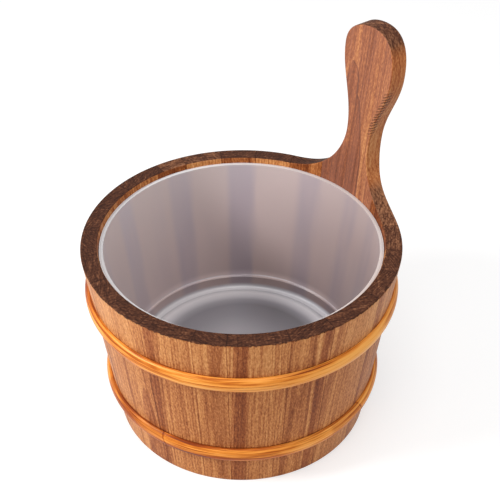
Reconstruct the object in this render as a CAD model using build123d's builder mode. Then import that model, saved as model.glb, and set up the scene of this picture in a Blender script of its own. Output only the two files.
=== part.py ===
from build123d import *
import math
import os

# A wooden piggin: a small coopered bucket with one long stave as its handle, two cane hoops
# and a plastic liner that lifts out.
# Millimetres, +Z up. The origin is on the bucket's axis, in the plane that it stands on.
# The handle stands at +X, and angles are in degrees round +Z from there.

# Bucket
bucket_height = 151.0
rim_radius = 115.0
base_radius = 97.5
stave_thickness = 12.0
edge_round = 0.8
handle_stave_width = 63.4
# Widths of the other staves in turn from the handle's left edge, as shares of their ring
stave_width_shares = [
    15.3, 15.8, 15.0, 16.2, 11.0, 19.6, 15.4, 15.0, 15.5, 15.5, 13.5,
    14.2, 19.0, 11.5, 20.8, 15.5, 21.5, 15.0, 13.0, 15.0, 14.7,
]

# Handle: heights over the rim and half widths from its middle, sawn by hand and so not quite even.
# The drops go from its top down to its widest, and the crown stands off to the left.
grip_height = 126.9
left_head_drop = 17.0
right_head_drop = 31.4
left_head_half_width = 25.4
right_head_half_width = 24.8
crown_offset = 2.3
neck_height = 44.3
neck_half_width = 12.2
foot_half_width = 58.0
# How far each end of a curve runs on straight, as shares of its width or its height
left_foot_flat_share = 0.76
right_foot_flat_share = 0.88
left_foot_upright_share = 0.32
right_foot_upright_share = 0.48
neck_upright_share = 0.39
head_upright_share = 0.35
shoulder_share = 0.82
crown_share = 0.45
# Over the rim the board grows thicker on its outside, up to this height
handle_swell = 1.8
swell_height = 30.0
swell_ease_share = 0.4

# Hoops: half-round cane, its middle at these heights, its ends lapped and nailed
upper_hoop_height = 113.0
lower_hoop_height = 34.0
hoop_width = 12.5
hoop_thickness = 4.4
hoop_fit = 0.05
lap_gap = 0.2
# The lap's slope, as a share of the least slope that still leaves the bent cane
lap_slope_share = 1.2
# About where each hoop is nailed, which moves to the middle of the stave there
upper_lap_angle = 70.0
lower_lap_angle = 100.0

# Brads
brad_radius = 0.7
brad_length = 13.0
brad_head_radius = 1.6
brad_head_height = 0.8
brad_head_round = 0.3
brad_seat = 0.3
brad_pair_width = 10.0
brad_fit = 0.05

# Bottom: three boards whose thinner edge stands in a groove round the staves
bottom_height = 14.0
bottom_thickness = 14.0
bottom_edge_thickness = 8.0
bottom_bevel = 6.0
bottom_gap = 0.4
croze_depth = 5.0
croze_fit = 0.1
middle_board_width = 66.0
tongue_length = 4.0
tongue_thickness = 4.0
tongue_fit = 0.1

# Liner
liner_wall = 1.5
liner_floor = 2.0
liner_gap = 1.8
liner_corner_radius = 2.0
# A small step in its wall, so far over its floor
liner_step = 1.2
liner_step_rise = 9.6
liner_step_height = 1.2
liner_step_round = 0.6
lip_drop = 4.2
lip_fit = 0.4
lip_thickness = 2.2
lip_round = 0.9
standing_ring_height = 2.5
standing_ring_width = 3.0
floor_edge_inset = 4.8
raised_floor_inset = 12.0
raised_floor_height = 1.5
raised_floor_share = 0.5
crease_run_share = 0.25
crease_rise_share = 0.55

# How far cutting shapes run past what they cut
overrun = 5.0

taper = (rim_radius - base_radius) / bucket_height
wall_lean = math.degrees(math.atan(taper))
handle_top = bucket_height + grip_height


def outer_radius(height):
    """Radius of the bucket's outside at a height."""
    return base_radius + taper * height


def inner_radius(height):
    """Radius of the bucket's inside at a height."""
    return outer_radius(height) - stave_thickness


def upright_plane(angle):
    """The upright plane through the axis at an angle, with the radius as its x and the height as its y."""
    return Plane.XZ.rotated((0, 0, angle))


# Groove round the inside of the staves
bottom_middle = bottom_height + bottom_thickness / 2
croze_height = bottom_edge_thickness + 2 * croze_fit
croze_radius = inner_radius(bottom_middle) + croze_depth

# Joints between the staves
handle_half_angle = math.degrees(math.asin(handle_stave_width / 2 / rim_radius))
ring_angle = 360 - 2 * handle_half_angle
joint_angles = [handle_half_angle]
for width_share in stave_width_shares:
    joint_angles.append(joint_angles[-1] + ring_angle * width_share / sum(stave_width_shares))
stave_spans = list(zip(joint_angles[:-1], joint_angles[1:]))


def wall_sector(start, end, top, swell):
    """A sector of the bucket's wall between two angles, up to a height, with the handle's swell or none."""
    with BuildPart() as sector:
        with BuildSketch(upright_plane(start)) as section:
            with BuildLine():
                if swell:
                    ease_height = swell_ease_share * swell_height
                    swell_top = bucket_height + swell_height
                    swell_low = swell_top - ease_height
                    rim_high = bucket_height + ease_height
                    Bezier(
                        (outer_radius(bucket_height), bucket_height),
                        (outer_radius(rim_high), rim_high),
                        (outer_radius(swell_low) + swell, swell_low),
                        (outer_radius(swell_top) + swell, swell_top),
                    )
                    Line((outer_radius(swell_top) + swell, swell_top), (outer_radius(top) + swell, top))
                Polyline(
                    (outer_radius(top) + swell, top),
                    (inner_radius(top), top),
                    (inner_radius(0), 0),
                    (outer_radius(0), 0),
                    (outer_radius(bucket_height), bucket_height),
                )
            make_face()
            corners = section.vertices().group_by(Axis.Y)[0] if swell else section.vertices()
            fillet(corners, radius=edge_round)
            with Locations((croze_radius, bottom_middle)):
                Rectangle(
                    stave_thickness,
                    croze_height,
                    align=(Align.MAX, Align.CENTER),
                    mode=Mode.SUBTRACT,
                )
        revolve(axis=Axis.Z, revolution_arc=end - start)
    return sector


def hoop_point(height, angle, over_wall):
    """The plane square to the wall at a hoop's middle, so far over the wall's outside."""
    lean = math.radians(wall_lean)
    turn = math.radians(angle)
    outward = Vector(
        math.cos(turn) * math.cos(lean),
        math.sin(turn) * math.cos(lean),
        -math.sin(lean),
    )
    foot = Vector(
        outer_radius(height) * math.cos(turn),
        outer_radius(height) * math.sin(turn),
        height,
    )
    sideways = Vector(-math.sin(turn), math.cos(turn), 0)
    return Plane(origin=foot + outward * over_wall, x_dir=sideways, z_dir=outward)


def brad_planes(height, angle):
    """Where the two brads of a lap go in, on the crown of the cane."""
    half_step = math.degrees(brad_pair_width / 2 / outer_radius(height))
    crown = hoop_fit + hoop_thickness
    return [hoop_point(height, angle + side * half_step, crown) for side in (-1, 1)]


# Each hoop with its height and the angle of its lap
hoops = {}
for name, height, lap_angle in (
    ("upper_hoop", upper_hoop_height, upper_lap_angle),
    ("lower_hoop", lower_hoop_height, lower_lap_angle),
):
    for start, end in stave_spans:
        if start <= lap_angle < end:
            hoops[name] = (height, (start + end) / 2)

# The handle's board with the staves beside it that its sawn foot runs onto
foot_angle = math.degrees(math.asin(foot_half_width / rim_radius))
blank_left = min(joint for joint in joint_angles if joint >= foot_angle)
blank_right = max(joint for joint in joint_angles if joint <= 360 - foot_angle) - 360

with BuildPart() as handle_blank:
    add(wall_sector(blank_right, blank_left, handle_top, handle_swell).part)
    with BuildSketch(Plane.YZ) as handle_outline:
        foot_run = foot_half_width - neck_half_width
        neck_top = bucket_height + neck_height
        with BuildLine():
            for side, head_half_width, head_drop, foot_flat_share, foot_upright_share in (
                (1, left_head_half_width, left_head_drop, left_foot_flat_share, left_foot_upright_share),
                (-1, right_head_half_width, right_head_drop, right_foot_flat_share, right_foot_upright_share),
            ):
                widest = handle_top - head_drop
                waist_run = widest - neck_top
                crown_run = head_half_width - side * crown_offset
                foot_curve = Bezier(
                    (side * foot_half_width, bucket_height),
                    (side * (foot_half_width - foot_flat_share * foot_run), bucket_height),
                    (side * neck_half_width, bucket_height + neck_height * (1 - foot_upright_share)),
                    (side * neck_half_width, neck_top),
                )
                waist_curve = Bezier(
                    foot_curve @ 1,
                    (side * neck_half_width, neck_top + neck_upright_share * waist_run),
                    (side * head_half_width, widest - head_upright_share * waist_run),
                    (side * head_half_width, widest),
                )
                Bezier(
                    waist_curve @ 1,
                    (side * head_half_width, widest + shoulder_share * head_drop),
                    (crown_offset + side * crown_share * crown_run, handle_top),
                    (crown_offset, handle_top),
                )
                Polyline(
                    foot_curve @ 0,
                    (side * (rim_radius + overrun), bucket_height),
                    (side * (rim_radius + overrun), -overrun),
                    (0, -overrun),
                )
        make_face()
    extrude(amount=rim_radius + handle_top, mode=Mode.INTERSECT)
    sawn_edges = handle_blank.edges().filter_by(GeomType.LINE, reverse=True).filter_by(
        lambda edge: edge.center().Z > bucket_height - edge_round
    )
    fillet(sawn_edges, radius=edge_round)


def wedge_stave(start, end):
    """The part of the handle's blank between two joints."""
    reach = 2 * (rim_radius + handle_top)
    with BuildPart() as stave:
        add(handle_blank.part)
        with BuildSketch():
            with BuildLine():
                Polyline(
                    (0, 0),
                    (reach * math.cos(math.radians(start)), reach * math.sin(math.radians(start))),
                    (reach * math.cos(math.radians(end)), reach * math.sin(math.radians(end))),
                    close=True,
                )
            make_face()
        extrude(amount=handle_top + overrun, mode=Mode.INTERSECT)
    return stave


def save(piece, name):
    """Labels a finished piece and writes it to its own file."""
    piece.part.label = name
    export_step(piece.part, f"parts/{name}.step")


os.makedirs("parts", exist_ok=True)

# Staves
save(wedge_stave(-handle_half_angle, handle_half_angle), "handle_stave")
for number, (start, end) in enumerate(stave_spans, 1):
    if start < blank_left or end > 360 + blank_right:
        stave = wedge_stave(start, end)
    else:
        stave = wall_sector(start, end, bucket_height, 0)
    for height, lap_angle in hoops.values():
        if start < lap_angle < end:
            with stave:
                with Locations(*brad_planes(height, lap_angle)):
                    Hole(radius=brad_radius + brad_fit, depth=brad_length + brad_fit)
    save(stave, f"stave_{number:02d}")

# Hoops
for name, (height, lap_angle) in hoops.items():
    hoop_radius = outer_radius(height)
    with BuildPart() as hoop:
        with BuildSketch(Plane.XZ) as cane:
            with Locations((hoop_radius + hoop_fit, height)):
                Ellipse(hoop_thickness, hoop_width / 2, rotation=-wall_lean)
                Rectangle(
                    hoop_thickness + overrun,
                    hoop_width + overrun,
                    rotation=-wall_lean,
                    align=(Align.MAX, Align.CENTER),
                    mode=Mode.SUBTRACT,
                )
        revolve(axis=Axis.Z)
        lap_slope = lap_slope_share * math.sqrt(hoop_thickness / hoop_radius)
        lap_lean = math.degrees(math.atan(lap_slope))
        lap_plane = hoop_point(height, lap_angle, hoop_fit + hoop_thickness / 2)
        with Locations(lap_plane):
            Box(
                2 * hoop_thickness / lap_slope + overrun,
                hoop_width + overrun,
                lap_gap,
                rotation=(0, lap_lean, 0),
                mode=Mode.SUBTRACT,
            )
        with Locations(*brad_planes(height, lap_angle)):
            CounterBoreHole(
                radius=brad_radius + brad_fit,
                counter_bore_radius=brad_head_radius + brad_fit,
                counter_bore_depth=brad_seat,
                depth=brad_length,
            )
    save(hoop, name)

# Brads
with BuildPart() as brads:
    for height, lap_angle in hoops.values():
        for crown in brad_planes(height, lap_angle):
            with BuildSketch(crown.offset(-brad_seat)):
                Circle(brad_radius)
            extrude(amount=brad_seat - brad_length)
            with BuildSketch(crown.offset(-brad_seat)):
                Circle(brad_head_radius)
            extrude(amount=brad_head_height)
    fillet(brads.edges().filter_by(GeomType.CIRCLE).group_by(SortBy.RADIUS)[-1], radius=brad_head_round)
save(brads, "hoop_brads")

# Bottom boards
bottom_top = bottom_height + bottom_thickness
edge_low = bottom_middle - bottom_edge_thickness / 2
edge_high = bottom_middle + bottom_edge_thickness / 2
edge_root = inner_radius(edge_low) - bottom_gap
with BuildPart() as bottom:
    with BuildSketch(Plane.XZ):
        with BuildLine():
            Polyline(
                (0, bottom_height),
                (edge_root - bottom_bevel, bottom_height),
                (edge_root, edge_low),
                (croze_radius - croze_fit, edge_low),
                (croze_radius - croze_fit, edge_high),
                (edge_root, edge_high),
                (edge_root - bottom_bevel, bottom_top),
                (0, bottom_top),
                close=True,
            )
        make_face()
    revolve(axis=Axis.Z)

half_board = middle_board_width / 2
with BuildPart() as middle_board:
    add(bottom.part)
    with BuildSketch(Plane.YZ):
        with Locations((0, bottom_middle)):
            Rectangle(middle_board_width, bottom_thickness + overrun)
            Rectangle(middle_board_width + 2 * tongue_length, tongue_thickness)
    extrude(amount=rim_radius, both=True, mode=Mode.INTERSECT)
save(middle_board, "bottom_board_middle")

for name, side in (("bottom_board_left", 1), ("bottom_board_right", -1)):
    with BuildPart() as side_board:
        add(bottom.part)
        with BuildSketch(Plane.YZ):
            with Locations((side * (half_board + rim_radius / 2), bottom_middle)):
                Rectangle(rim_radius, bottom_thickness + overrun)
            with Locations((side * half_board, bottom_middle)):
                Rectangle(
                    2 * (tongue_length + tongue_fit),
                    tongue_thickness + 2 * tongue_fit,
                    mode=Mode.SUBTRACT,
                )
        extrude(amount=rim_radius, both=True, mode=Mode.INTERSECT)
    save(side_board, name)

# Liner, from the middle of its floor out and up over the lip, and back down its outside
floor_height = bottom_top + standing_ring_height + liner_floor
raised_height = floor_height + raised_floor_height
lip_top = bucket_height - lip_drop
lip_outside = inner_radius(lip_top) - lip_fit


def liner_radius(height):
    """Radius of the liner's outside at a height."""
    return inner_radius(height) - liner_gap


under_radius = liner_radius(floor_height - liner_floor) - liner_step
floor_radius = liner_radius(floor_height) - liner_wall - liner_step
floor_edge_radius = floor_radius - floor_edge_inset
raised_floor_radius = floor_radius - raised_floor_inset
ring_outside = floor_edge_radius + standing_ring_width / 2
with BuildPart() as liner:
    with BuildSketch(Plane.XZ) as liner_section:
        rise_run = floor_edge_radius - raised_floor_radius
        step_low = floor_height + liner_step_rise
        step_high = step_low + liner_step_height
        with BuildLine():
            raised_top = Line((0, raised_height), (raised_floor_radius, raised_height))
            rise_top = Bezier(
                raised_top @ 1,
                (raised_floor_radius + raised_floor_share * rise_run, raised_height),
                (
                    floor_edge_radius - crease_run_share * rise_run,
                    floor_height + crease_rise_share * raised_floor_height,
                ),
                (floor_edge_radius, floor_height),
            )
            outside = Polyline(
                rise_top @ 1,
                (floor_radius, floor_height),
                (liner_radius(step_low) - liner_wall - liner_step, step_low),
                (liner_radius(step_high) - liner_wall, step_high),
                (liner_radius(lip_top) - liner_wall, lip_top),
                (lip_outside, lip_top),
                (lip_outside, lip_top - lip_thickness),
                (liner_radius(lip_top - lip_thickness), lip_top - lip_thickness),
                (liner_radius(step_high), step_high),
                (liner_radius(step_low) - liner_step, step_low),
                (under_radius, floor_height - liner_floor),
                (ring_outside, floor_height - liner_floor),
                (ring_outside, bottom_top),
                (ring_outside - standing_ring_width, bottom_top),
                (ring_outside - standing_ring_width, floor_height - liner_floor),
            )
            rise_below = Line(outside @ 1, (raised_floor_radius - liner_floor, raised_height - liner_floor))
            Polyline(rise_below @ 1, (0, raised_height - liner_floor), raised_top @ 0)
        make_face()
        corners = liner_section.vertices()
        inner_corner = corners.sort_by_distance((floor_radius, floor_height))[0]
        outer_corner = corners.sort_by_distance((under_radius, floor_height - liner_floor))[0]
        step_corners = corners.filter_by_position(Axis.Y, step_low, step_high)
        lip_corners = corners.filter_by(lambda corner: corner.Y > lip_top - edge_round)
        fillet(inner_corner, radius=liner_corner_radius)
        fillet(outer_corner, radius=liner_corner_radius + liner_wall)
        fillet(lip_corners, radius=lip_round)
        fillet(step_corners, radius=liner_step_round)
    revolve(axis=Axis.Z)
save(liner, "liner")

print("staves", len(stave_spans) + 1)
print("stave widths at the rim", [round(rim_radius * math.radians(b - a), 1) for a, b in stave_spans])
print("whole height", handle_top, "liner stands at", bottom_top, "floor inside at", floor_height)
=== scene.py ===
# %% [markdown]
# # A wooden piggin
# A piggin is a small coopered bucket whose longest stave is its handle. This one has two hoops of
# split cane and a loose plastic liner. The imported model gives every piece its shape and place, so
# nothing is modelled again here: each step below gives a piece its look. The first cell loads that
# model and counts its pieces.

# %% Load the imported model
import math
import bpy
from mathutils import Matrix, Vector

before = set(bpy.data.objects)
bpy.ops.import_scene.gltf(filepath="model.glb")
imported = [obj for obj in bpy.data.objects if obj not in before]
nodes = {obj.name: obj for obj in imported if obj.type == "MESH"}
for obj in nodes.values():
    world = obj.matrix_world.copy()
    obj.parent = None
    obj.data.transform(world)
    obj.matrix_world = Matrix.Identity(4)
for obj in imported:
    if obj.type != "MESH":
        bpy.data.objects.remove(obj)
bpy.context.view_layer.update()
print("pieces:", len(nodes))

# %% [markdown]
# ## The bucket's own sizes
# The patterns of wood, cane and plastic have to know where the wall is, so its sizes are written
# once, in metres. The wall is a cone: its radius grows with the height. The handle stands at the
# angle of +X, and the photograph was taken from the angle of the viewer below.

# %% Sizes of the bucket
MM = 0.001
BUCKET_HEIGHT = 151.0 * MM
RIM_RADIUS = 115.0 * MM
BASE_RADIUS = 97.5 * MM
TAPER = (RIM_RADIUS - BASE_RADIUS) / BUCKET_HEIGHT
LEAN = math.atan(TAPER)
VIEWER_ANGLE = math.radians(-126.7)
VIEWERS_RIGHT = VIEWER_ANGLE + math.pi / 2
print("the wall leans out by", round(math.degrees(LEAN), 2), "degrees")

# %% [markdown]
# The camera and the lamps are easier to place as the viewer sees them: so far to the right, so far
# away and so far up. One small helper turns that into a place in the bucket's own frame.

# %% Places as the viewer sees them
def from_viewer(right, away, up):
    """A point in the bucket's frame, from metres to the viewer's right, away and up."""
    cosine, sine = math.cos(VIEWERS_RIGHT), math.sin(VIEWERS_RIGHT)
    return Vector((right * cosine - away * sine, right * sine + away * cosine, up))


print("one metre to the viewer's right is", [round(c, 2) for c in from_viewer(1.0, 0.0, 0.0)])

# %% [markdown]
# ## The camera
# The photograph looks down on the bucket at about 38 degrees, from about 0.83 metres away. A long
# lens keeps the rim's ellipse calm. Such a view could be matched by eye, but here the lens and the
# place were worked out from the ellipses of the rim, the foot and the hoops, which is surer.

# %% Camera
CAMERA_PITCH = math.radians(38.03)
CAMERA_YAW = math.radians(0.38)
CAMERA_ROLL = math.radians(0.04)

camera_data = bpy.data.cameras.new("camera")
camera_data.sensor_width = 36.0
camera_data.lens = 73.13
camera = bpy.data.objects.new("camera", camera_data)
bpy.context.scene.collection.objects.link(camera)
camera.location = from_viewer(0.0023, -0.5803, 0.592)
camera.rotation_euler = (
    Matrix.Rotation(VIEWERS_RIGHT - CAMERA_YAW, 4, "Z")
    @ Matrix.Rotation(math.pi / 2 - CAMERA_PITCH, 4, "X")
    @ Matrix.Rotation(-CAMERA_ROLL, 4, "Z")
).to_euler()
bpy.context.scene.camera = camera
print("camera stands at", [round(c, 3) for c in camera.location])

# %% [markdown]
# ## A short way to write materials
# A material is a graph of nodes. Written node by node it gets long, so one small class wraps a
# socket: adding or multiplying two of them adds a Math node, and `node` adds any other kind. A
# node's settings come first, because some of them change which sockets it has.

# %% Shader expressions
def fill_ramp(ramp, stops):
    """Gives a colour ramp its stops of (place, colour)."""
    while len(ramp.elements) < len(stops):
        ramp.elements.new(0.5)
    for element, (place, colour) in zip(ramp.elements, stops):
        element.position = place
        element.color = colour


class Value:
    """A socket in a material, which Python's operators join to new nodes."""

    def __init__(self, tree, socket):
        self.tree = tree
        self.socket = socket

    def node(self, kind, settings=None, inputs=None):
        """The first output of a new node, from its settings and its sockets' values or links."""
        new = self.tree.nodes.new(kind)
        for name, setting in (settings or {}).items():
            if name == "stops":
                fill_ramp(new.color_ramp, setting)
            else:
                setattr(new, name, setting)
        for key, value in (inputs or {}).items():
            if isinstance(value, Value):
                self.tree.links.new(value.socket, new.inputs[key])
            else:
                new.inputs[key].default_value = value
        return Value(self.tree, new.outputs[0])

    def output(self, key):
        """Another output of the same node, by its name or number."""
        return Value(self.tree, self.socket.node.outputs[key])

    def math(self, operation, *others):
        """A Math node of this value and others."""
        inputs = dict(enumerate((self, *others)))
        return self.node("ShaderNodeMath", {"operation": operation}, inputs)

    def __add__(self, other):
        return self.math("ADD", other)

    def __mul__(self, other):
        return self.math("MULTIPLY", other)

    def __sub__(self, other):
        return self.math("SUBTRACT", other)

    def __truediv__(self, other):
        return self.math("DIVIDE", other)

    def __rsub__(self, other):
        return self.node("ShaderNodeMath", {"operation": "SUBTRACT"}, {0: other, 1: self})

    __radd__ = __add__
    __rmul__ = __mul__

    def parts(self):
        """The x, y and z of a vector."""
        split = self.node("ShaderNodeSeparateXYZ", {}, {0: self})
        return [split.output(axis) for axis in range(3)]


print("a Value understands + - * / and adds a Math node for each")

# %% [markdown]
# Marks on wood and cane have soft edges, because stain and grain fade into what is beside them. A
# smooth step from 0 to 1 is the simplest soft edge, and a band is a step up and a step down again.
# Noise gives the uneven rest. It is written with the length of its lumps in millimetres, so that
# a fibre can be asked for as thin across and long along the board.

# %% Steps, bands and noise
def between(value, low, high):
    """0 at low, 1 at high, and smooth on the way."""
    step = value.node(
        "ShaderNodeMapRange",
        {"interpolation_type": "SMOOTHSTEP"},
        {"Value": value, "From Min": min(low, high), "From Max": max(low, high)},
    )
    return step if high > low else 1 - step


def band(value, middle, half_width, edge):
    """1 within half_width of middle, fading to 0 over edge on both sides."""
    return (value - middle).math("ABSOLUTE").between(half_width + edge, half_width)


def noise(place, stretch, detail=2.0, roughness=0.5, offset=(0, 0, 0)):
    """Soft random values round 0, with one lump in about each stretch of millimetres."""
    lumps = place.node(
        "ShaderNodeVectorMath",
        {"operation": "MULTIPLY_ADD"},
        {0: place, 1: tuple(1 / length for length in stretch), 2: offset},
    )
    settings = {"Vector": lumps, "Scale": 1.0, "Detail": detail, "Roughness": roughness}
    return lumps.node("ShaderNodeTexNoise", {}, settings) - 0.5


Value.between, Value.band, Value.noise = between, band, noise
print("patterns ready:", between.__name__, band.__name__, noise.__name__)

# %% [markdown]
# Colours are easiest to give as a screen shows them, from 0 to 255. Blender works in linear
# light, where half as bright is half the number, so each colour is turned into that first.
# A ramp then gives a colour to each lightness of the wood, and a lookup does the same for numbers.

# %% Colours and lookups
def srgb(red, green, blue):
    """A colour of 0 to 255 as a screen shows it, in Blender's linear values."""
    linear = []
    for part in (red, green, blue):
        share = part / 255
        linear.append(share / 12.92 if share <= 0.04045 else ((share + 0.055) / 1.055) ** 2.4)
    return (*linear, 1.0)


def mix(share, one, other):
    """Colour one where share is 0 and the other where it is 1."""
    mixed = share.node("ShaderNodeMix", {"data_type": "RGBA"}, {0: share, 6: one, 7: other})
    return mixed.output(2)


def ramp(value, *stops):
    """A colour for each value, from stops of (value, (red, green, blue))."""
    colours = [(at, srgb(*colour)) for at, colour in stops]
    return value.node("ShaderNodeValToRGB", {"stops": colours}, {0: value})


def lookup(value, low, high, *stops):
    """A number for each value, read off straight lines between stops of (value, number)."""
    first = min(at for at, _ in stops)
    span = max(at for at, _ in stops) - first
    greys = [((at - first) / span, ((n - low) / (high - low),) * 3 + (1.0,)) for at, n in stops]
    share = (value - first) / span
    return share.node("ShaderNodeValToRGB", {"stops": greys}, {0: share}) * (high - low) + low


def bump(height, strength, distance):
    """Normals that follow small heights."""
    inputs = {"Strength": strength, "Distance": distance, "Height": height}
    return height.node("ShaderNodeBump", {}, inputs)


Value.mix, Value.ramp, Value.lookup, Value.bump = mix, ramp, lookup, bump
print("a screen's 128 of 255 is", round(srgb(128, 128, 128)[0], 3), "in linear light")

# %% [markdown]
# ## Finishes and how pieces get them
# Each finish starts as an empty material. What is the same all over is set on the shader's own
# sockets, and what varies is linked to it at the end. Object coordinates carry the patterns,
# because they stay on the piece when it moves, and a Mapping node of the kind Texture turns them
# into millimetres from any place on the bucket.

# %% Empty finish
def new_material(name, **settings):
    """An empty material: itself, its shader, and the place of each point of a piece."""
    material = bpy.data.materials.new(name)
    material.use_nodes = True
    tree = material.node_tree
    shader = next(node for node in tree.nodes if node.type == "BSDF_PRINCIPLED")
    for socket, setting in settings.items():
        shader.inputs[socket.replace("_", " ")].default_value = setting
    coordinates = tree.nodes.new("ShaderNodeTexCoord")
    return material, shader, Value(tree, coordinates.outputs["Object"])


def in_mm(place, origin=(0.0, 0.0, 0.0), turned=(0.0, 0.0, 0.0)):
    """The place in millimetres from an origin in metres, turned about X, Y and Z."""
    return place.node(
        "ShaderNodeMapping",
        {"vector_type": "TEXTURE"},
        {"Vector": place, "Location": origin, "Rotation": turned, "Scale": (MM, MM, MM)},
    )


def link(shader, **values):
    """Links what varies over a piece to its shader."""
    for socket, value in values.items():
        value.tree.links.new(value.socket, shader.inputs[socket.replace("_", " ")])


def dress(name, material):
    """Puts a material on a piece of the model."""
    mesh = nodes[name].data
    mesh.materials.clear()
    mesh.materials.append(material)


print("pieces to dress:", len(nodes))

# %% [markdown]
# ## Wood
# Each stave is a board from another place in the trunk, so each gets its own wood. One picture of
# wood laid round the whole bucket would run on over the joints, which real staves don't do. So the
# wood is worked out in each board's own place: its depth, the way across it and the way along it,
# with the wall's lean. The finest patterns on it are long thin fibres and short flecks.

# %% A board's own place
class Board:
    """One board: its place in mm, and the soft patterns that its finishes share."""

    def __init__(self, place, angle, seed):
        self.turn = math.radians(angle)
        self.seed = seed
        self.offset = (seed * 7.3, seed * 3.1, seed * 5.7)
        foot = (BASE_RADIUS * math.cos(self.turn), BASE_RADIUS * math.sin(self.turn), 0.0)
        self.place = in_mm(place, foot, (0.0, LEAN, self.turn))
        self.depth, self.across, self.along = self.place.parts()
        self.waver = self.noise((9, 9, 55), detail=1.5)
        self.fibre = self.noise((0.9, 0.9, 38), detail=3.0, roughness=0.62)
        self.fleck = self.noise((1.0, 1.0, 2.6), roughness=0.6)
        self.stripe = self.noise((2.4, 2.4, 130), detail=1.0)
        self.cloud = self.noise((13, 13, 70))
        self.torn = self.noise((2.2, 2.2, 2.2))

    def noise(self, stretch, **settings):
        """Soft noise that differs from board to board."""
        return self.place.noise(stretch, offset=self.offset, **settings)


print("along a board the rim is at", round(BUCKET_HEIGHT / MM / math.cos(LEAN), 1), "mm")

# %% [markdown]
# A tree adds a ring each year, pale in spring and dark late in summer, so the rings are tubes round
# the pith. Where a board's face cuts them square they show as straight lines, and where it grazes
# them they show as arches. A Wave texture gives rings too, but the distance from a pith line gives
# both kinds of grain from one rule, and the grain goes on round the board's edges.

# %% Growth rings
RING_DRIFT = 0.02


def growth_rings(board, pith, ring, drift=RING_DRIFT):
    """The tone of each ring, and how far a point lies in its dark late wood.

    pith is the rings' middle, in mm across the board and out from its face, drift is how far it
    moves across for each mm along, and ring is the width of one ring in mm.
    """
    pith_across, pith_depth = pith
    behind = board.depth - pith_depth
    beside = board.across - pith_across - board.along * drift
    wander = board.noise((26, 26, 150), detail=1.5)
    distance = (behind * behind + beside * beside).math("SQRT")
    rings = (distance + wander * 9.0 + board.waver * 1.6) / ring
    number = rings.math("FLOOR")
    dice = {"W": number + board.seed}
    ring_tone = number.node("ShaderNodeTexWhiteNoise", {"noise_dimensions": "1D"}, dice) - 0.5
    in_ring = rings.math("FRACT")
    late = in_ring.between(0.4, 0.92) * in_ring.between(1.0, 0.94)
    return ring_tone, late


print("the rings drift", round(RING_DRIFT * BUCKET_HEIGHT / MM, 1), "mm across from foot to rim")

# %% [markdown]
# In the photograph the boards are a little paler under the rim and at the foot, and a dark line
# lies in the corner over each hoop. Both are painted: the paler strips are painted light, and the
# line is painted shade in the corner. These could be painted by hand on an unwrapped mesh. But they
# depend only on the height along the board, so a step or a band at that height is enough.

# %% Lightness of plain wood
HOOP_TOPS = (119.6, 40.6)
UNDER_RIM = (119.0, 131.0)
AT_FOOT = (26.0, 18.0)


def plain_wood(board, tone, rings, contrast, grain=1.0):
    """How light a board is at each point, round its tone, with painted light and shade, from 0 to
    1.
    """
    ring_tone, late = rings
    light = tone + board.cloud * 0.26 + (ring_tone * 0.14 - late * 0.12) * contrast
    light = light + (board.fibre * 0.46 + board.fleck * 0.85 + board.stripe * 0.36) * grain
    # Painted light: paler strips under the rim and at the foot.
    light = light + board.along.between(*UNDER_RIM) * 0.09 + board.along.between(*AT_FOOT) * 0.05
    # Painted shade: a dark line in the corner over each hoop.
    for hoop_top in HOOP_TOPS:
        light = light - board.along.band(hoop_top, 0.3, 0.8) * 0.28
    return light


print("dark corners at", HOOP_TOPS, "mm along the boards")

# %% [markdown]
# Staves are glued edge to edge, and the joint shows as a hair of shadow. Grooves in the mesh would
# change the model, so the line is only dark. A board's edges lie at fixed angles round the bucket's
# axis, so the line is measured from the axis and stays on the joint from the foot to the rim.

# %% Joint line
JOINT_DARKNESS = 0.22


def joint_line(board, half_angle):
    """1 on the fine line at both edges of a board, which reaches half_angle to each side."""
    from_axis = board.depth + board.along * math.sin(LEAN) + BASE_RADIUS / MM
    turned = board.across.math("ARCTAN2", from_axis).math("ABSOLUTE")
    from_joint = (math.radians(half_angle) - turned) * from_axis
    below_rim = board.along.between(153.0, 152.2)
    return from_joint.between(0.55, 0.1) * below_rim


print("joint lines darken the wood by", JOINT_DARKNESS)

# %% [markdown]
# Some boards carry a bright or dark streak from end to end, and some a dark red stripe of
# heartwood. Noise alone puts such marks anywhere. The eye knows a bucket by them, so they are given
# as rows with their place on the board, and noise only bends them a little.

# %% Streaks and stains
MID_HEIGHT = 75.0


def upright(board, middle, half_width, edge, lean, sway):
    """1 on a soft line along the board, whose middle is given at mid height."""
    across = board.across + board.waver * sway - (board.along - MID_HEIGHT) * lean
    return across.band(middle, half_width, edge)


def add_streaks(board, light, streaks):
    """Lightness with streaks of (across, half width, edge, lean, how much lighter)."""
    for middle, half_width, edge, lean, lightness in streaks:
        line = upright(board, middle, half_width, edge, lean, sway=2.4)
        light = light + line * (lightness * (0.8 + board.fibre * 0.8))
    return light


def add_stains(board, stains):
    """How stained a board is, with stains of (across, half width, edge, lean, how much)."""
    stain = board.cloud * 0.5 + 0.12
    for middle, half_width, edge, lean, amount in stains:
        stain = stain + upright(board, middle, half_width, edge, lean, sway=3.36) * amount
    return stain


def add_arch(board, stain, arch):
    """The stain with an arch of heartwood: (across, top along, spread, how much)."""
    middle, top, spread, amount = arch
    beside = board.across - middle + board.waver * 2.4
    over_arch = board.along - top + beside * beside * spread + board.fibre * 6.0
    return stain + over_arch.between(2.0, -2.0) * amount


print("streaks and stains lean about a height of", MID_HEIGHT, "mm")

# %% [markdown]
# Under varnish, sapwood is a sandy brown and heartwood a deep red brown. Each has its own ramp from
# dark fibres to light ones, and the stain says how far to go from the one to the other.

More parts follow.
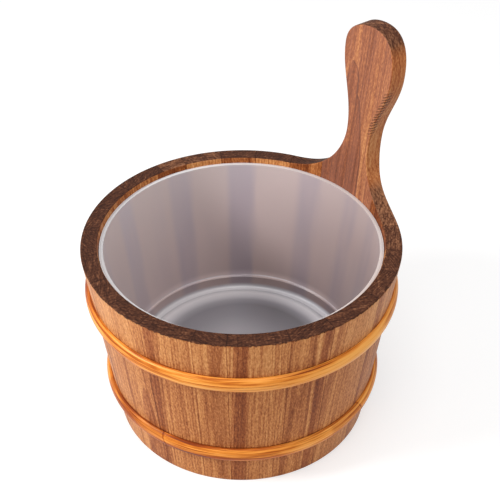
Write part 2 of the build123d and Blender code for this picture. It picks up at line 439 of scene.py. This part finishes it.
# %% Varnished faces
SAPWOOD = (
    (0.0, (88, 38, 16)),
    (0.3, (134, 70, 32)),
    (0.5, (174, 104, 56)),
    (0.7, (206, 138, 80)),
    (1.0, (238, 178, 114)),
)
HEARTWOOD = (
    (0.0, (60, 24, 10)),
    (0.35, (108, 50, 20)),
    (0.6, (150, 80, 38)),
    (1.0, (210, 136, 78)),
)


def varnished(board, light, stain, late):
    """The colour of a face that runs along the grain."""
    heart = (stain + board.fibre * 0.25 + late * 0.1).between(0.0, 1.0)
    return heart.mix(light.ramp(*SAPWOOD), light.ramp(*HEARTWOOD))


print("wood colours:", len(SAPWOOD), "for sapwood and", len(HEARTWOOD), "for heartwood")

# %% [markdown]
# ## The sawn rim
# Across the grain the saw opens the pores, which drink the varnish and turn dark. A face is known
# as sawn by its direction: its normal points along the board there, so one dot product finds all
# of them. The saw also chips the edge, which a wavering border between the two colours shows.

# %% End grain
RIM_CHIPS = (150.9, 151.8)


def across_grain(board, normal, least, less=0.0):
    """0 on a face along the grain, rising from least to 1 on a face across it."""
    lean = math.sin(LEAN)
    grain_way = (lean * math.cos(board.turn), lean * math.sin(board.turn), math.cos(LEAN))
    inputs = {0: normal, 1: grain_way}
    dot = normal.node("ShaderNodeVectorMath", {"operation": "DOT_PRODUCT"}, inputs).output(1)
    return (dot.math("ABSOLUTE") + board.torn * 0.2 - less).between(least, 0.8)


def rim_chips(board):
    """1 on the chipped edge of the rim."""
    return (board.along + board.torn * 2.5 + board.fleck * 2.0).between(*RIM_CHIPS)


print("the rim's edge is chipped over", round(RIM_CHIPS[1] - RIM_CHIPS[0], 1), "mm")

# %% [markdown]
# On the sawn rim the pores show as small dark marks, drawn out round the rim by the saw, a little
# differently on each board. The same noise as for fibres gives them, once its place is turned to
# the way of the saw. Fine grit between them keeps the dark from looking painted.

# %% Saw marks
SAWN = ((0.1, (34, 15, 9)), (0.38, (60, 32, 20)), (0.6, (88, 52, 35)), (1.0, (160, 110, 78)))


def saw_marks(board):
    """Pores and grit on a sawn end, which run the way of the saw."""
    saw_way = math.pi / 2 + 0.55 * math.sin(board.seed * 1.9)
    cosine, sine = math.cos(saw_way), math.sin(saw_way)
    one_way = board.across * cosine + board.depth * sine
    other_way = board.depth * cosine - board.across * sine
    parts = {0: one_way, 1: other_way, 2: board.along}
    cut = one_way.node("ShaderNodeCombineXYZ", {}, parts)
    pores = cut.noise((1.1, 7.0, 12), roughness=0.65, offset=board.offset)
    grit = cut.noise((1.3, 1.8, 4.0), offset=board.offset)
    return pores, grit


def sawn_colour(tone, end_tone, rings, marks, joint):
    """The dark colour of a sawn end, which end_tone makes lighter."""
    ring_tone, late = rings
    pores, grit = marks
    light = 0.47 + (tone - 0.5) * 0.2 + end_tone - joint * 0.2
    light = light + pores * 0.95 + grit * 0.7 + ring_tone * 0.12 - late * 0.08
    return light.ramp(*SAWN)


print("sawn colours:", len(SAWN))

# %% [markdown]
# The varnish is thin and satin, a touch glossier on light wood, and the sawn ends stay rough.
# Fibres and pores are too fine for a mesh, so a Bump node gives their relief.

# %% Stave finish
WOOD_VARNISH = {"Specular_IOR_Level": 0.12, "Coat_Weight": 0.03, "Coat_Roughness": 0.3}
STAVE_END = 0.42


def finish_wood(board, shader, colour, light, end, marks):
    """Links a board's colour, gloss and fine relief."""
    pores, grit = marks
    relief = (board.fibre * 0.7 + board.fleck * 0.5) * (1 - end) + (pores + grit) * end
    roughness = 0.56 - light * 0.12 + end * 0.22
    link(shader, Base_Color=colour, Roughness=roughness, Normal=relief.bump(0.4, 0.0004))


def stave_wood(name, angle, half_angle, seed, tone, pith, ring, contrast=1.0,
               streaks=(), stains=(), arch=None, end_tone=0.0, rim=True):
    """Wood for a stave at an angle round the bucket, which reaches half_angle to both sides.

    tone is how light the board is and contrast how strong its rings are. end_tone makes its sawn
    end lighter, and rim is False where the handle's foot lies on that end.
    """
    material, shader, place = new_material(name, **WOOD_VARNISH)
    board = Board(place, angle, seed)
    rings = growth_rings(board, pith, ring)
    joint = joint_line(board, half_angle)
    light = plain_wood(board, tone, rings, contrast) - joint * JOINT_DARKNESS
    light = add_streaks(board, light, streaks)
    stain = add_stains(board, stains)
    if arch:
        stain = add_arch(board, stain, arch)
    marks = saw_marks(board)
    end = across_grain(board, place.output("Normal"), STAVE_END)
    if rim:
        end = end.math("MAXIMUM", rim_chips(board))
    face = varnished(board, light, stain, rings[1])
    colour = end.mix(face, sawn_colour(tone, end_tone, rings, marks, joint))
    finish_wood(board, shader, colour, light, end, marks)
    return material


print("varnish:", WOOD_VARNISH)

# %% [markdown]
# ## The staves
# The staves are numbered in turn from the handle's left edge. Their widths in millimetres at the
# rim share out the circle that the handle leaves, which gives the angle of each board's middle and
# how far it reaches to both sides.

# %% Angles of the staves
HANDLE_HALF_WIDTH = 31.7 * MM
HANDLE_HALF = math.degrees(math.asin(HANDLE_HALF_WIDTH / RIM_RADIUS))
stave_widths = [
    15.3, 15.8, 15.0, 16.2, 11.0, 19.6, 15.4, 15.0, 15.5, 15.5, 13.5,
    14.2, 19.0, 11.5, 20.8, 15.5, 21.5, 15.0, 13.0, 15.0, 14.7,
]
stave_angles = []
joint_angle = HANDLE_HALF
for width in stave_widths:
    reach = (360 - 2 * HANDLE_HALF) * width / sum(stave_widths)
    stave_angles.append((joint_angle + reach / 2, reach / 2))
    joint_angle += reach
print("stave middles:", [round(middle, 1) for middle, _ in stave_angles])

# %% [markdown]
# The boards in the photograph differ a lot: some are plain and sandy, some have fine straight
# lines, and some carry a dark red heart with a bright streak beside it. Each row below is one
# board: its tone, its pith and rings, its streaks and its stains, in millimetres. Those at the back
# are made up in the same spirit.

# %% Boards
boards = {
    1: dict(tone=0.34, pith=(12, -60), ring=3.2, rim=False,
            streaks=[(-4.5, 1.6, 1.0, 0.0, 0.12)], stains=[(3.5, 5, 2, 0.0, 0.45)]),
    2: dict(tone=0.64, pith=(-70, -30), ring=2.6, streaks=[(6, 0.6, 0.6, 0.02, 0.1)]),
    3: dict(tone=0.41, pith=(3, -45), ring=3.6, end_tone=0.04, stains=[(10, 4, 3, 0.02, 0.4)]),
    4: dict(tone=0.66, pith=(80, -20), ring=2.4, end_tone=0.12),
    5: dict(tone=0.24, pith=(-6, -55), ring=3.1, end_tone=0.28),
    6: dict(tone=0.52, pith=(-60, -50), ring=2.8,
            streaks=[(-9, 0.7, 0.6, -0.03, 0.2)], stains=[(-14, 3, 3, -0.03, 0.7)]),
    7: dict(tone=0.47, pith=(20, -70), ring=3.3),
    8: dict(tone=0.57, pith=(90, -10), ring=2.5, stains=[(13, 2, 2, 0.01, 0.6)]),
    9: dict(tone=0.55, pith=(0, -52), ring=3.4),
    10: dict(tone=0.6, pith=(30, -80), ring=3.0, stains=[(13.5, 2.0, 2.0, 0.0, 0.7)]),
    11: dict(tone=0.66, pith=(-80, -25), ring=2.6, contrast=0.8,
             streaks=[(-7, 0.7, 0.8, 0.0, -0.1), (0, 0.6, 0.8, 0.0, -0.08)],
             stains=[(14.0, 0.9, 1.2, 0.02, 0.6)]),
    12: dict(tone=0.62, pith=(10, -60), ring=3.4, contrast=0.6, arch=(5.0, 82, 0.9, 0.6),
             stains=[(-11.6, 0.7, 1.2, 0.02, 0.4)]),
    13: dict(tone=0.56, pith=(-95, -15), ring=2.5, contrast=0.9,
             streaks=[(-5.9, 0.5, 0.6, 0.045, 0.16), (1.5, 2.0, 2.0, 0.0, 0.06),
                      (16.4, 0.5, 0.6, 0.03, 0.1)],
             stains=[(-14.8, 2.6, 1.6, 0.03, 0.75), (-10, 1.4, 2.0, 0.04, 0.35)]),
    14: dict(tone=0.62, pith=(-3, -58), ring=3.8, contrast=0.6,
             streaks=[(-6.3, 1.5, 1.5, 0.0, -0.09)], stains=[(5, 2.5, 3, 0.0, 0.5)]),
    15: dict(tone=0.60, pith=(95, -15), ring=2.4, contrast=0.85,
             streaks=[(-18.2, 0.6, 0.5, 0.02, 0.14), (-5.4, 0.7, 0.6, 0.03, -0.09),
                      (-0.4, 0.5, 0.5, 0.0, 0.16), (8.1, 1.5, 1.5, 0.0, 0.08)],
             stains=[(-12.2, 4.2, 1.8, 0.01, 0.85)]),
    16: dict(tone=0.53, pith=(6, -46), ring=3.2, contrast=0.8,
             streaks=[(-5.0, 1.5, 1.5, 0.0, 0.05), (4.2, 0.6, 0.6, 0.02, 0.24),
                      (-12.5, 3, 3, 0.03, -0.04)],
             stains=[(9.0, 1.8, 1.8, 0.03, 0.85), (2.2, 0.7, 0.8, 0.0, 0.5)]),
    17: dict(tone=0.63, pith=(20, -75), ring=3.6, contrast=0.7,
             streaks=[(-11.6, 0.7, 0.9, 0.045, 0.16)], stains=[(-17.5, 1.2, 2.5, 0.03, 0.5)]),
    18: dict(tone=0.64, pith=(-30, -60), ring=3.0, end_tone=0.05,
             stains=[(-12.0, 2.4, 1.4, 0.0, 0.6), (8.5, 3.0, 3.0, 0.0, 0.2)]),
    19: dict(tone=0.58, pith=(70, -30), ring=2.8, end_tone=0.06),
    20: dict(tone=0.2, pith=(0, -60), ring=3.3, end_tone=0.21),
    21: dict(tone=0.22, pith=(-14, -64), ring=3.0, end_tone=0.38, rim=False),
}
for number, (middle, half) in enumerate(stave_angles, 1):
    name = f"stave_{number:02d}"
    dress(name, stave_wood(name, middle, half, seed=number, **boards[number]))
print("boards dressed:", len(boards))

# %% [markdown]
# ## The handle
# The handle is one more board, wider and with stronger rings, so the same wood serves for it. Its
# grip is sawn to a curve, and the narrow edges that show there are lighter than its faces. Along it
# the wood is palest over the foot and darkest at the head, which a lookup along the board gives.

# %% Handle board
HANDLE_TONE = 0.39
HANDLE_FADE = ((150, -0.03), (172, -0.02), (188, 0.1), (215, 0.0), (250, -0.03), (275, -0.1))
HANDLE_STREAKS = [
    (-5.5, 2.5, 2.0, 0.0, 0.07),
    (-10.5, 1.0, 1.0, 0.0, 0.08),
    (-14, 0.6, 0.8, 0.0, 0.06),
    (-17.5, 0.8, 0.8, 0.0, 0.1),
    (2, 3.0, 2.5, -0.02, -0.05),
]

handle_material, handle_shader, place = new_material("handle_stave", **WOOD_VARNISH)
handle_normal = place.output("Normal")
handle = Board(place, angle=0.0, seed=40)
handle_rings = growth_rings(handle, pith=(-60, -60), ring=3.4, drift=0.05)
handle_joint = joint_line(handle, HANDLE_HALF)
sideways = handle_normal.parts()[1]
on_edge = sideways.math("ABSOLUTE").between(0.3, 0.7)
light = plain_wood(handle, HANDLE_TONE, handle_rings, contrast=1.2, grain=1.25)
light = light - handle_joint * JOINT_DARKNESS
light = light + handle.along.lookup(-0.1, 0.1, *HANDLE_FADE) + on_edge * 0.18
light = add_streaks(handle, light, HANDLE_STREAKS)
print("handle streaks:", len(HANDLE_STREAKS))

# %% [markdown]
# A dark flame of heartwood rises up the handle's left side and ends in a point below the head. Its
# two edges are plain curves, given as their way across at a few heights along the board. A thin
# dark line borders it on the right, and on the left the wood beside its upper part is paler.

# %% Handle heartwood
FLAME_RIGHT = (
    (151, -7.4), (173, -6.3), (185, -5.1), (200, -1.5), (213, 1.5), (221.5, 4.5),
    (226, 7.7), (230, 7.3), (240, 8.8), (246, 11.6), (249, 15.5), (250, 19.0),
)
FLAME_LEFT = ((151, 30.0), (228, 24.0), (237, 18.4), (244, 17.4), (249, 15.5), (250, 12.0))

inside = handle.across - handle.along.lookup(-20, 30, *FLAME_RIGHT) + handle.waver * 2.0
outside = handle.along.lookup(-20, 30, *FLAME_LEFT) - handle.across
flame = inside.between(-0.4, 0.4) * outside.between(-0.8, 0.8)
border = inside.band(0.2, 0.35, 0.6) * outside.between(-1.0, 0.0)
paler = outside.band(-2.2, 1.2, 1.0) * handle.along.between(205.0, 225.0)
light = light - border * 0.36 + paler * 0.14
stain = add_stains(handle, []) + flame * 0.75
print("the flame ends at", FLAME_LEFT[-2][0], "mm along the board")

# %% [markdown]
# In the photograph the handle is pinker than the staves, and its edges are redder than its faces.
# A second colour mixed in by a small share does that and keeps the grain. Where the edges cross
# the grain they are sawn dark, but less so than the rim, and on the neck the dark fades, as if
# sanded away.

# %% Handle colour
PINK_FACE = srgb(192, 134, 112)
PINK_EDGE = srgb(166, 88, 54)

marks = saw_marks(handle)
sanded = handle.along.between(154.0, 172.0) * handle.along.between(235.0, 200.0)
end = across_grain(handle, handle_normal, 0.33, sanded * 0.25)
end_tone = handle.along.between(200.0, 168.0) * 0.16 + 0.2
sawn = sawn_colour(HANDLE_TONE, end_tone, handle_rings, marks, handle_joint)
face = varnished(handle, light, stain, handle_rings[1])
tint = on_edge.mix(PINK_FACE, PINK_EDGE)
face = (0.3 + handle.stripe * 0.35 + on_edge * 0.1).mix(face, tint)
colour = end.mix(face, sawn)
print("pink tint in linear light:", [round(part, 3) for part in PINK_FACE[:3]])

# %% [markdown]
# One edge of the grip has a ladder of small dark tears, as a saw leaves them when it goes against
# the grain. They could be listed one by one, but a sine wave along the edge gives all the rungs at
# once, noise bends them, and a curve keeps them close to the edge.

# %% Torn fibres on the handle
TEAR_FROM, TEAR_TO = 196.0, 244.0
EDGE_OF_GRIP = (
    (190, -12.6), (200, -12.4), (210, -14.2), (220, -17.6), (230, -21.4), (240, -24.1),
    (250, -24.8),
)

rungs = handle.along * 2.9 + handle.across * 1.6 + handle.torn * 6.0
tears = rungs.math("SINE").between(-0.1, 0.5)
grip_edge = handle.along.lookup(-30, -10, *EDGE_OF_GRIP)
near_edge = (handle.across - grip_edge + handle.torn * 3.0).between(3.8, 2.4)
tears = tears * sideways.between(-0.25, -0.6).math("MAXIMUM", near_edge)
tears = tears * (handle.depth + handle.torn * 6.0).between(-8.0, -10.0)
tears = tears * handle.along.between(TEAR_FROM, TEAR_FROM + 10.0)
tears = tears * handle.along.between(TEAR_TO, TEAR_TO - 10.0)
colour = (tears * 0.75).mix(colour, srgb(58, 32, 20))
finish_wood(handle, handle_shader, colour, light, end, marks)
dress("handle_stave", handle_material)
print("the edge is torn over", TEAR_TO - TEAR_FROM, "mm")

# %% [markdown]
# ## Hoops
# The hoops are half-round split cane: smooth skin outside and fine straight fibres that run round
# the bucket. Object coordinates run straight on, so they are bent first: the angle times the radius
# gives the way along the hoop, as if it were laid flat. The ends of that strip meet at the back.

# %% A hoop laid flat
STRIP_MIDDLE = 200.0


def hoop_radius(middle_height):
    """The radius in mm of the wall at a height in mm."""
    return BASE_RADIUS / MM + TAPER * middle_height


def laid_flat(place, middle_height):
    """A hoop as a straight strip in mm: the way along it, outwards and up."""
    hoop = in_mm(place, (0.0, 0.0, middle_height * MM), (0.0, 0.0, math.radians(STRIP_MIDDLE)))
    x, y, up = hoop.parts()
    radius = hoop_radius(middle_height)
    along = y.math("ARCTAN2", x) * radius
    out = (x * x + y * y).math("SQRT") - radius
    return along.node("ShaderNodeCombineXYZ", {}, {0: along, 1: out, 2: up})


def along_strip(angle, middle_height):
    """The way along the strip to an angle round the bucket."""
    turned = (angle - STRIP_MIDDLE + 180) % 360 - 180
    return math.radians(turned) * hoop_radius(middle_height)


print("hoop radii in mm:", round(hoop_radius(113.0), 1), round(hoop_radius(34.0), 1))

# %% [markdown]
# The cane is golden, and reddish along some of its fibres. A thin ring crosses it where each leaf
# grew, and the part before that ring is redder. An image of cane would repeat along so long a
# strip. Long soft noise gives the fibres instead, and very thin noise the dark hairs between them.

# %% Split cane
CANE_VARNISH = {"Specular_IOR_Level": 0.12, "Coat_Weight": 0.03, "Coat_Roughness": 0.28}
CANE_SKIN = (
    (0.0, (134, 56, 14)),
    (0.3, (186, 92, 24)),
    (0.55, (226, 138, 50)),
    (0.75, (245, 160, 70)),
    (1.0, (254, 180, 90)),
)
CANE_RED = ((0.0, (96, 36, 12)), (0.5, (164, 76, 22)), (1.0, (222, 136, 58)))


def cane(name, middle_height, seed, tone, low_edge, knots, patches):
    """Split cane, with painted shade along its upper edge and under low_edge, which is in mm from
    its middle.

    knots are its leaf rings: (angle, redness of the part before it, half that part's length).
    patches are lighter or darker parts, partly painted light and shade:
    (mm along it, half length, how much lighter).
    """
    material, shader, place = new_material(name, **CANE_VARNISH)
    strip = laid_flat(place, middle_height)
    along, _, up = strip.parts()
    fibre = strip.noise((60, 2.3, 2.3), detail=3.0, roughness=0.7, offset=(seed, 0, 0))
    cloud = strip.noise((40, 6, 5), offset=(seed, 2, 0))
    streak = strip.noise((70, 2.2, 1.6), detail=1.0, offset=(seed, 5, 3))
    hair = strip.noise((45, 1.1, 0.8), roughness=0.6, offset=(seed, 9, 4))
    # Painted light: from 20 to 110 mm along the strip the cane grows lighter and stays so, which
    # lifts the front and the right side, away from the key lamp.
    light = tone + fibre * 2.4 + cloud * 0.6 - hair * 0.9 + along.between(20.0, 110.0) * 0.27
    # Painted shade: the cane is darker along its upper edge and below low_edge, where it meets the
    # staves.
    light = light - up.between(5.0, 6.2) * 0.3 - up.between(low_edge, low_edge - 2.4) * 0.25
    for middle, half_length, lightness in patches:
        light = light + along.band(middle, half_length, 14.0) * lightness
    red = (streak * 2.8 - up.between(2.0, 4.0) * 0.15 - 0.12).between(0.1, 0.7)
    # The stretch round 235 mm along, which the patches darken, is redder as well; together they are
    # partly painted shade.
    red = red + along.band(235.0, 30.0, 30.0) * 0.35 + hair.between(0.03, 0.16) * 0.45
    relief = fibre + streak * 0.8 + hair * 0.6
    for angle, redness, half_length in knots:
        knot = along_strip(angle, middle_height)
        leaf_ring = (along + up * 0.35 + cloud * 3.0).band(knot, 0.25, 0.9)
        light = light - leaf_ring * 0.3
        red = red + along.band(knot - 4.0 - half_length, half_length, 5.0) * redness
        relief = relief + leaf_ring * 0.8
    colour = red.math("MINIMUM", 0.85).mix(light.ramp(*CANE_SKIN), light.ramp(*CANE_RED))
    link(shader, Base_Color=colour, Roughness=0.42 - light * 0.08, Normal=relief.bump(0.45, 0.0005))
    return material


print("cane colours:", len(CANE_SKIN), "for its skin and", len(CANE_RED), "where it is red")

# %% [markdown]
# Each hoop has its own stretches of lighter and darker skin, as in the photograph: partly the
# cane's own tone and partly painted light and shade. The upper one's leaf ring is at the back and
# made up, and the lower one's two are about where the photograph shows them.

# %% Hoops
upper_cane = cane(
    "upper_hoop", middle_height=113.0, seed=3.0, tone=0.58, low_edge=-4.0,
    knots=[(58.0, 0.1, 8.0)],
    patches=[(-13.0, 8.0, 0.15), (152.0, 22.0, 0.12), (235.0, 25.0, -0.25)],
)
lower_cane = cane(
    "lower_hoop", middle_height=34.0, seed=8.0, tone=0.47, low_edge=1.0,
    knots=[(-159.0, 0.6, 33.0), (-70.0, 0.55, 13.0)],
    patches=[(-12.0, 6.0, 0.25), (24.0, 6.0, -0.2), (122.0, 14.0, 0.14), (235.0, 25.0, -0.2)],
)
dress("upper_hoop", upper_cane)
dress("lower_hoop", lower_cane)
print("hoops dressed:", upper_cane.name, lower_cane.name)

# %% [markdown]
# ## Bottom
# The three bottom boards are plain planed wood, bare and matt, and show only when the liner is
# lifted out. They lie flat, so they need no leaning place of their own, and their rings are
# measured from a line 50 mm under the bucket's foot.

# %% Bottom boards
PLANED = (
    (0.0, (104, 58, 34)),
    (0.4, (158, 100, 62)),
    (0.7, (192, 134, 90)),
    (1.0, (222, 172, 124)),
)


def planed_board(name, seed):
    """Bare wood with its grain along X."""
    material, shader, place = new_material(name, Specular_IOR_Level=0.4)
    board = in_mm(place)
    _, across, up = board.parts()
    offset = (seed, seed * 2.0, seed * 3.0)
    wander = board.noise((120, 22, 22), offset=offset)
    beside, above = across - seed * 9.0, up + 50
    rings = (beside * beside + above * above).math("SQRT") / 3.1 + wander * 3.0
    late = rings.math("FRACT")
    fibre = board.noise((36, 1.0, 1.0), detail=3.0, roughness=0.6, offset=offset)
    light = 0.5 - late * 0.14 + fibre * 0.6 + wander * 0.3
    relief = (fibre * 0.8 - late * 0.2).bump(0.35, 0.0004)
    link(shader, Base_Color=light.ramp(*PLANED), Roughness=0.72 - light * 0.15, Normal=relief)
    return material


bottom_boards = ("bottom_board_left", "bottom_board_middle", "bottom_board_right")
for number, name in enumerate(bottom_boards, 1):
    dress(name, planed_board(name, number * 1.7))
print("bottom boards dressed:", len(bottom_boards))

# %% [markdown]
# ## Brads
# Small brass pins close the lapped ends of the hoops. Brass goes dull in patches, so one noise
# gives both its colour and its roughness: what is darker is also rougher.

# %% Brads
DULL_BRASS = ((0.25, (120, 92, 56)), (0.55, (186, 148, 88)), (0.8, (214, 180, 118)))

brass, brass_shader, place = new_material("hoop_brads", Metallic=1.0)
shine = in_mm(place).noise((0.9, 0.9, 0.9), detail=3.0) + 0.5
link(
    brass_shader,
    Base_Color=shine.ramp(*DULL_BRASS),
    Roughness=0.62 - shine * 0.4,
    Normal=shine.bump(0.2, 0.0002),
)
dress("hoop_brads", brass)
print("brads dressed:", brass.name)

# %% [markdown]
# ## Liner
# The liner is milky plastic that lets a little light through. Its shader does that with a small
# share of transmission. The rest of its look depends on where a point lies on the cup, so the cup's
# own measures come first: the radius, the angle and the way to the viewer's right.

# %% Liner plastic
plastic, plastic_shader, place = new_material(
    "liner", Specular_IOR_Level=0.5, IOR=1.49, Transmission_Weight=0.12,
    Coat_Weight=0.1, Coat_Roughness=0.15,
)
cup = in_mm(place)
cup_x, cup_y, cup_height = cup.parts()
cup_radius = (cup_x * cup_x + cup_y * cup_y).math("SQRT")
cup_angle = cup_y.math("ARCTAN2", cup_x) * math.degrees(1.0)
rightwards = cup_x * math.cos(VIEWERS_RIGHT) + cup_y * math.sin(VIEWERS_RIGHT)
haze = cup.noise((14, 14, 60), detail=1.0)
print("the liner is", plastic.name)

# %% [markdown]
# In the photograph the staves behind the liner show through it as soft upright bands, and one side
# of it is brighter. Light that really shone through so thin a wall would be grainy and slow to
# render, so both are painted in the plastic: cooler bands at the angles of the staves, and a wave
# round the cup. They stay on the liner when it is lifted out.

# %% Liner wall
BANDS = (
    (54.0, 3.0, 1.0), (20.5, 2.5, 0.7), (83.5, 2.5, 0.8), (117.0, 3.0, 0.7), (-5.0, 2.0, 0.5),
    (-24.0, 2.0, 0.4), (97.0, 1.5, 0.2), (40.0, 1.5, -0.4), (148.0, 3.0, 0.5), (176.0, 3.0, 0.5),
    (-60.0, 3.0, 0.6), (-95.0, 4.0, 0.5), (-128.0, 3.0, 0.6), (-158.0, 4.0, 0.5),
)
BRIGHT_SIDE = 139.0
WARM_MILK = (
    (0.1, (112, 92, 90)),
    (0.4, (176, 156, 153)),
    (0.6, (216, 197, 194)),
    (0.9, (246, 232, 229)),
)
COOL_MILK = (
    (0.1, (98, 86, 92)),
    (0.4, (156, 142, 148)),
    (0.6, (194, 180, 187)),
    (0.9, (236, 227, 233)),
)

bands = haze * 0.8
for middle, half_width, amount in BANDS:
    bands = bands + (cup_angle + haze * 4.0).band(middle, half_width, 5.5) * amount
to_bright_side = ((cup_angle - BRIGHT_SIDE) * math.radians(1.0)).math("COSINE")
# Painted light: the wall grows lighter from about 44 mm up towards the lip, and towards the bright
# side.
milk_and_painted_shading = 0.54 + (cup_height - 95.0) * 0.0028 * cup_height.between(44.0, 50.0)
milk_and_painted_shading = milk_and_painted_shading + to_bright_side * 0.206
# Painted shade: a darker band low on the wall, from about 35 to 42 mm up, just above the floor.
milk_and_painted_shading = milk_and_painted_shading - cup_height.between(43.6, 42.0) * cup_height.between(33.2, 35.0) * 0.24
wall = bands.between(-0.1, 1.1).mix(milk_and_painted_shading.ramp(*WARM_MILK), milk_and_painted_shading.ramp(*COOL_MILK))
print("bands on the liner's wall:", len(BANDS))

# %% [markdown]
# The liner's floor is darkest in a ring well inside its edge, and palest where it turns up into the
# wall. These rings are painted light and shade, since reflections in a bumpy floor would shift with
# the lamps. The radius tells these rings apart, so one lookup from the middle outwards gives them
# all.

# %% Liner floor
PAINTED_FLOOR_RINGS = (
    (0, 0.5), (30, 0.43), (48, 0.28), (60, 0.22), (66, 0.36), (70, 0.6), (75, 0.82),
    (78.9, 0.74), (79.9, 0.55), (81, 0.78), (84, 0.76), (86, 0.4),
)
GREY_MILK = (
    (0.0, (92, 90, 94)),
    (0.3, (150, 148, 154)),
    (0.6, (198, 196, 200)),
    (1.0, (248, 245, 246)),
)

# Painted shade: the floor's right part, as the viewer sees it, is darker.
rings = cup_radius.lookup(0.0, 1.0, *PAINTED_FLOOR_RINGS) - rightwards.between(-10.0, 30.0) * 0.15
on_floor = cup_height.between(37.0, 33.8) * cup_height.between(31.5, 32.3)
colour = on_floor.mix(wall, rings.ramp(*GREY_MILK))
print("rings on the liner's floor:", len(PAINTED_FLOOR_RINGS))

# %% [markdown]
# The lip is the brightest line in the picture; its colour is painted light, whiter on the left than
# on the right, with a thin grey line of painted shade along it. The step above the floor has a thin
# glint, which is a painted highlight. Both are narrow, so bands at their radius and height place
# them more surely than a lamp would.

# %% Liner lip and glint
on_lip = cup_height.between(146.3, 146.7)
# Painted shade: a thin grey line along the lip.
lip_shade_line = cup_radius.band(101.2, 0.1, 0.35) * 0.35
# Painted light: the lip is whiter on the viewer's left than on the right.
lip_light_and_shade = rightwards.between(-60.0, 90.0).mix(srgb(232, 231, 233), srgb(214, 204, 201))
lip_light_and_shade = lip_shade_line.mix(lip_light_and_shade, srgb(150, 140, 140))
# Painted highlight: a thin glint on the step above the floor, strongest at two angles.
glint_share = 0.4 + cup_angle.band(78.0, 9.0, 8.0) * 0.6 + cup_angle.band(36.0, 6.0, 8.0) * 0.5
glint = cup_height.band(43.7, 0.25, 0.4) * glint_share
colour = on_lip.mix(glint.mix(colour, srgb(236, 230, 234)), lip_light_and_shade)
link(
    plastic_shader,
    Base_Color=colour,
    Roughness=0.34 + haze * 0.1 - on_lip * 0.1,
    Normal=cup.noise((20, 20, 30), detail=1.0).bump(0.15, 0.0006),
)
dress("liner", plastic)
print("lip colour left in linear light:", round(srgb(232, 231, 233)[0], 3))

# %% [markdown]
# ## Floor
# The photograph has a white ground with one soft shadow to the right. A white floor under plain
# light renders as pale grey. More light would bleach the bucket, so the floor glows a little
# instead, for the camera and for what shines or shows through, and it still takes the shadow. Far
# out it is plain white. All other rays meet a plain pale floor.

# %% Floor
FLOOR_GREY = (0.56, 0.56, 0.56, 1.0)
FLOOR_GLOW = 0.557
WHITE = (1.0, 1.0, 1.0, 1.0)

bpy.ops.object.select_all(action="DESELECT")
bpy.ops.mesh.primitive_plane_add(size=8.0, location=(0, 0, 0))
floor = bpy.context.object
floor.name = "floor"
ground, ground_shader, place = new_material(
    "floor", Base_Color=(0.8, 0.8, 0.8, 1.0), Roughness=0.9, Specular_IOR_Level=0.1
)
shadowed = place.node("ShaderNodeBsdfDiffuse", {}, {"Color": FLOOR_GREY})
glow = place.node("ShaderNodeEmission", {}, {"Color": WHITE, "Strength": FLOOR_GLOW})
near = place.node("ShaderNodeAddShader", {}, {0: shadowed, 1: glow})
far = place.node("ShaderNodeEmission", {}, {"Color": WHITE, "Strength": 1.0})
x, y, _ = place.parts()
far_out = (x * x + y * y).math("SQRT").between(0.5, 1.3)
print("floor size in metres:", [round(side, 1) for side in floor.dimensions[:2]])

# %% [markdown]
# Light Path tells which ray meets a surface. The largest of its camera, glossy and transmission
# outputs is 1 for the rays that should see white, and it chooses between the two floors. The white
# room further below asks the same question, so it is a helper.

# %% Floor for the rays that see it
def seen_directly(rays):
    """1 for rays of the camera and for those that gloss or clear plastic sends on."""
    seen = rays.output("Is Camera Ray")
    for kind in ("Is Glossy Ray", "Is Transmission Ray"):
        seen = seen.math("MAXIMUM", rays.output(kind))
    return seen


seen = seen_directly(place.node("ShaderNodeLightPath"))
white_floor = place.node("ShaderNodeMixShader", {}, {0: far_out, 1: near, 2: far})
plain_floor = Value(ground.node_tree, ground_shader.outputs[0])
look = place.node("ShaderNodeMixShader", {}, {0: seen, 1: plain_floor, 2: white_floor})
surface = next(node for node in ground.node_tree.nodes if node.type == "OUTPUT_MATERIAL")
ground.node_tree.links.new(look.socket, surface.inputs["Surface"])
floor.data.materials.append(ground)
print("the floor's glow is", FLOOR_GLOW)

# %% [markdown]
# ## Light
# The photograph looks softly lit from all sides, as in a white tent. A white world does the same.
# The camera sees it as full white, but the bucket gets less than half of that from it, because the
# lamps add the rest, and its colours should render as they are written.

# %% White room
ROOM_LIGHT = 0.46

world = bpy.data.worlds.new("studio")
bpy.context.scene.world = world
world.use_nodes = True
room = world.node_tree.nodes["Background"]
room.inputs["Color"].default_value = WHITE
paths = world.node_tree.nodes.new("ShaderNodeLightPath")
seen = seen_directly(Value(world.node_tree, paths.outputs["Is Camera Ray"]))
world.node_tree.links.new((ROOM_LIGHT + seen * (1.0 - ROOM_LIGHT)).socket, room.inputs["Strength"])
print("the room lights the bucket with", ROOM_LIGHT, "of white")

# %% [markdown]
# Two round soft lamps give the modelling. The key stands high on the left, a little towards the
# viewer, and throws the shadow to the right. A wide one overhead reaches down into the liner. A
# smaller key would draw a harder edge to that shadow, and a wider one a softer edge.

# %% Lamps
def softbox(name, place, size, power):
    """A round soft lamp at a place as the viewer sees it, aimed at the bucket's middle."""
    data = bpy.data.lights.new(name, "AREA")
    data.shape = "DISK"
    data.size = size
    data.energy = power
    lamp = bpy.data.objects.new(name, data)
    bpy.context.scene.collection.objects.link(lamp)
    lamp.location = from_viewer(*place)
    aim = Vector((0, 0, 0.08)) - lamp.location
    lamp.rotation_euler = aim.to_track_quat("-Z", "Y").to_euler()
    return lamp


key = softbox("key", place=(-1.0, -0.3, 0.85), size=0.4, power=11.5)
top = softbox("top", place=(0.1, -0.35, 1.4), size=1.0, power=8.0)
bpy.context.scene.view_settings.view_transform = "Standard"
print("lamps:", key.name, key.data.energy, top.name, top.data.energy)
